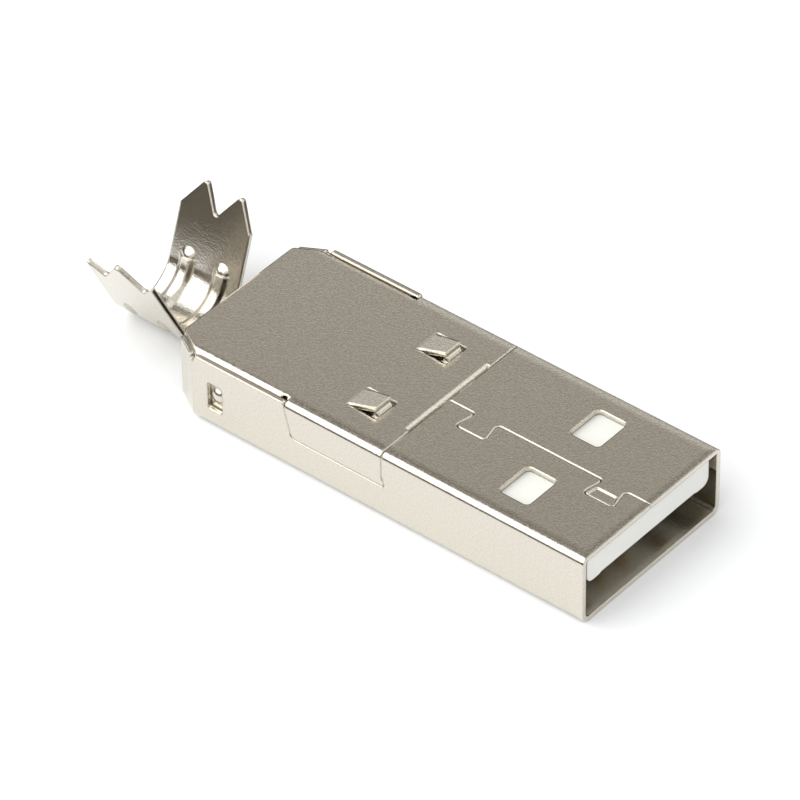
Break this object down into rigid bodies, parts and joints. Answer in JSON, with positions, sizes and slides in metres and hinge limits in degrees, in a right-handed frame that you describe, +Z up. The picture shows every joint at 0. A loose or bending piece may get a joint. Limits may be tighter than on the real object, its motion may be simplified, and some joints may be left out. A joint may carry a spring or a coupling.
{
  "type": "usb-a cable plug",
  "caption": "USB-A cable plug: a folded sheet-metal tube with locking windows, a clip-on rear cover, an open crimp barrel for the cable, and a plastic tongue that carries the contacts.",
  "frame": {"origin": "middle of the lower edge of the mating face", "axes": "+X out of the mating face, along the mating direction; +Z up, from the flat underside to the seam side; Y across the plug"},
  "size_m": [0.0364, 0.012, 0.007],
  "materials": {
    "shell_plating": "satin nickel plating on folded sheet",
    "cover_plating": "satin nickel plating on folded sheet",
    "insulator_resin": "matt white thermoplastic",
    "contact_plating": "thin gold plating"
  },
  "bodies": {
    "root": {"main_shell": "shell_plating", "top_cover": "cover_plating", "insulator": "insulator_resin", "contact_vbus": "contact_plating", "contact_data_minus": "contact_plating", "contact_data_plus": "contact_plating", "contact_ground": "contact_plating"}
  },
  "joints": []
}
